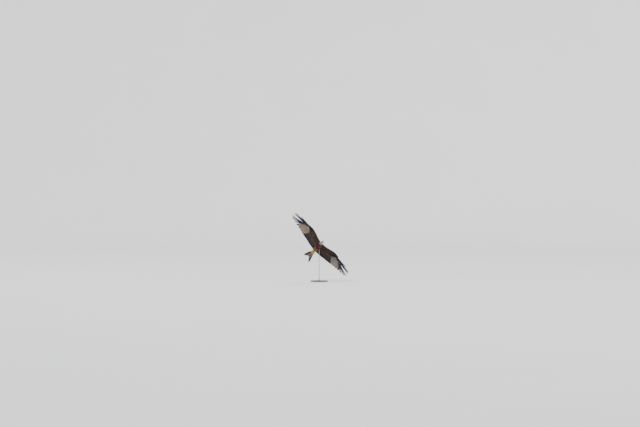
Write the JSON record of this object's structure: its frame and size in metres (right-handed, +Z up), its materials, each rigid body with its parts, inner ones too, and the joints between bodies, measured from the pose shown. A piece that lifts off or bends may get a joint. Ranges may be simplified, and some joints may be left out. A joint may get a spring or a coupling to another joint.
{
  "type": "red kite bird on a display stand",
  "caption": "Life-size still model of a red kite in a banking glide, wings spread and forked tail fanned, on a round base with one upright rod.",
  "frame": {"origin": "centre of the underside of the stand's base", "axes": "+Z up, and a camera that looks along +Y sees the bird as the picture does, with +X to the right"},
  "size_m": [1.1621, 0.4279, 1.4064],
  "materials": {
    "head_feathers": "pale grey feathers with dark streaks",
    "body_feathers": "rufous feathers with dark shaft streaks",
    "wing_feathers": "dark brown feathers with rufous edges",
    "flight_feathers": "blue-black fingers, pale barred inner primaries",
    "tail_feathers": "rufous tail with dark outer edges",
    "cere_skin": "waxy yellow skin",
    "bill_horn": "satin dark horn",
    "eye": "pale amber iris under a clear dome",
    "leg_skin": "scaly yellow skin",
    "claw_horn": "black horn",
    "stand_wood": "dark oiled wood",
    "stand_steel": "brushed steel"
  },
  "bodies": {
    "root": {"head": "head_feathers", "cere": "cere_skin", "beak_upper": "bill_horn", "beak_lower": "bill_horn", "eye_left": "eye", "eye_right": "eye", "neck": "head_feathers", "torso": "body_feathers", "tail": "tail_feathers", "wing_left_upper_arm": "wing_feathers", "wing_left_forearm": "wing_feathers", "wing_left_hand": "flight_feathers", "wing_left_alula": "wing_feathers", "wing_right_upper_arm": "wing_feathers", "wing_right_forearm": "wing_feathers", "wing_right_hand": "flight_feathers", "wing_right_alula": "wing_feathers", "thigh_left": "body_feathers", "thigh_right": "body_feathers", "tarsus_left": "leg_skin", "tarsus_right": "leg_skin", "foot_left": "leg_skin", "foot_right": "leg_skin", "claw_left_1": "claw_horn", "claw_left_2": "claw_horn", "claw_left_3": "claw_horn", "claw_left_4": "claw_horn", "claw_right_1": "claw_horn", "claw_right_2": "claw_horn", "claw_right_3": "claw_horn", "claw_right_4": "claw_horn", "stand_base": "stand_wood", "stand_rod": "stand_steel", "stand_collar": "stand_steel"}
  },
  "joints": []
}
